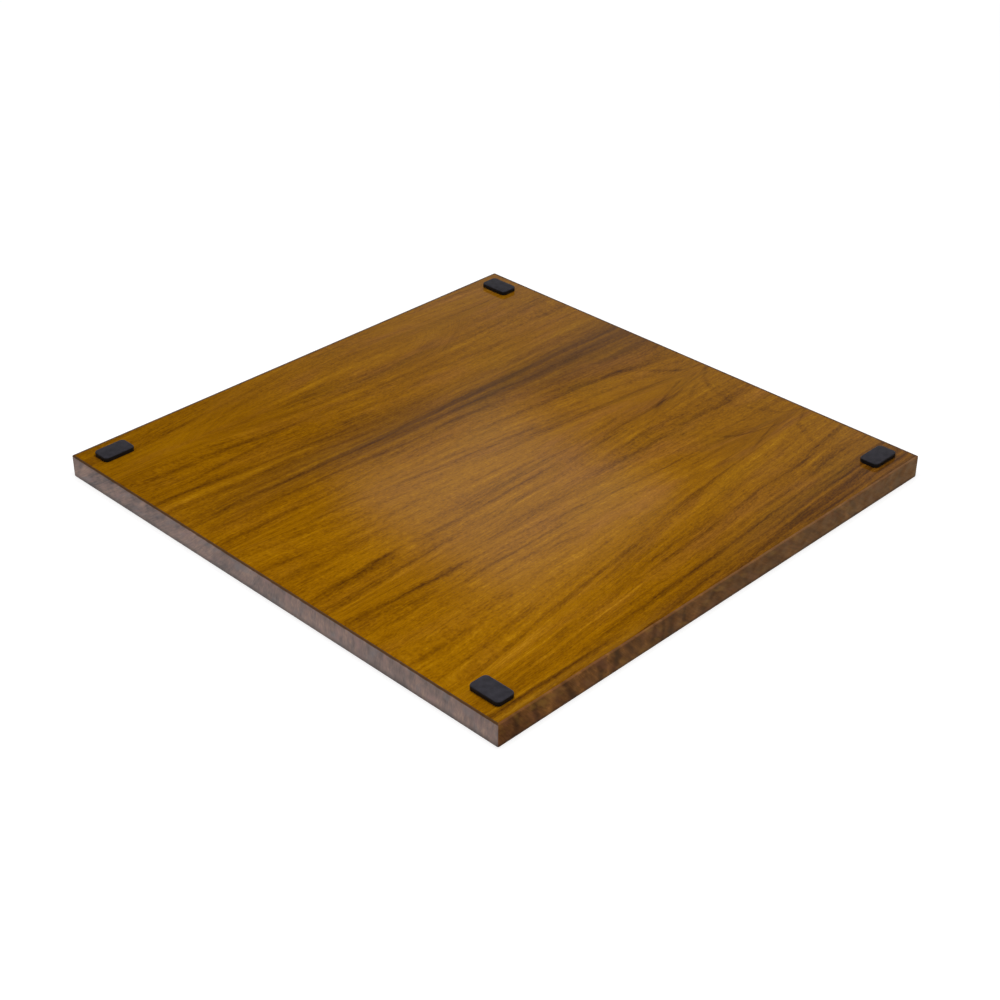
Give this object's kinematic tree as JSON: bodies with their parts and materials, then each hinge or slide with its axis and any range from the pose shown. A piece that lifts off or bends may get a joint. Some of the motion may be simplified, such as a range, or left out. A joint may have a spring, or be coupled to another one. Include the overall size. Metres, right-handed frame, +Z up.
{
  "type": "chessboard",
  "caption": "Rigid square chessboard: veneered core with mitred edge bands, inlaid squares, a lined border and rubber feet.",
  "frame": {"origin": "centre of the square footprint, in the plane of the four feet's soles", "axes": "+Z up out of the playing surface, +X to White's right, +Y from White's side to Black's side, so a1 is at -X -Y. The picture shows the board lying face down, with the underside and the -X and +Y sides towards the viewer"},
  "size_m": [0.5, 0.5, 0.0245],
  "materials": {
    "core_board": "raw fibreboard",
    "underside_walnut": "satin lacquer over long-grain veneer",
    "edge_walnut": "satin lacquer over cross-grain veneer",
    "border_walnut": "satin lacquer over cross-grain veneer",
    "line_maple": "satin lacquer over stringing",
    "light_maple": "satin lacquer over long-grain veneer",
    "dark_walnut": "satin lacquer over long-grain veneer",
    "foot_rubber": "moulded, matte",
    "foot_adhesive": "adhesive foam tape"
  },
  "bodies": {
    "root": {"core_panel": "core_board", "underside_veneer": "underside_walnut", "front_edge_band": "edge_walnut", "right_edge_band": "edge_walnut", "back_edge_band": "edge_walnut", "left_edge_band": "edge_walnut", "front_border": "border_walnut", "right_border": "border_walnut", "back_border": "border_walnut", "left_border": "border_walnut", "front_line": "line_maple", "right_line": "line_maple", "back_line": "line_maple", "left_line": "line_maple", "rank_1_light_squares": "light_maple", "rank_1_dark_squares": "dark_walnut", "rank_2_light_squares": "light_maple", "rank_2_dark_squares": "dark_walnut", "rank_3_light_squares": "light_maple", "rank_3_dark_squares": "dark_walnut", "rank_4_light_squares": "light_maple", "rank_4_dark_squares": "dark_walnut", "rank_5_light_squares": "light_maple", "rank_5_dark_squares": "dark_walnut", "rank_6_light_squares": "light_maple", "rank_6_dark_squares": "dark_walnut", "rank_7_light_squares": "light_maple", "rank_7_dark_squares": "dark_walnut", "rank_8_light_squares": "light_maple", "rank_8_dark_squares": "dark_walnut", "front_left_foot": "foot_rubber", "front_right_foot": "foot_rubber", "back_right_foot": "foot_rubber", "back_left_foot": "foot_rubber", "front_left_foot_tape": "foot_adhesive", "front_right_foot_tape": "foot_adhesive", "back_right_foot_tape": "foot_adhesive", "back_left_foot_tape": "foot_adhesive"}
  },
  "joints": []
}
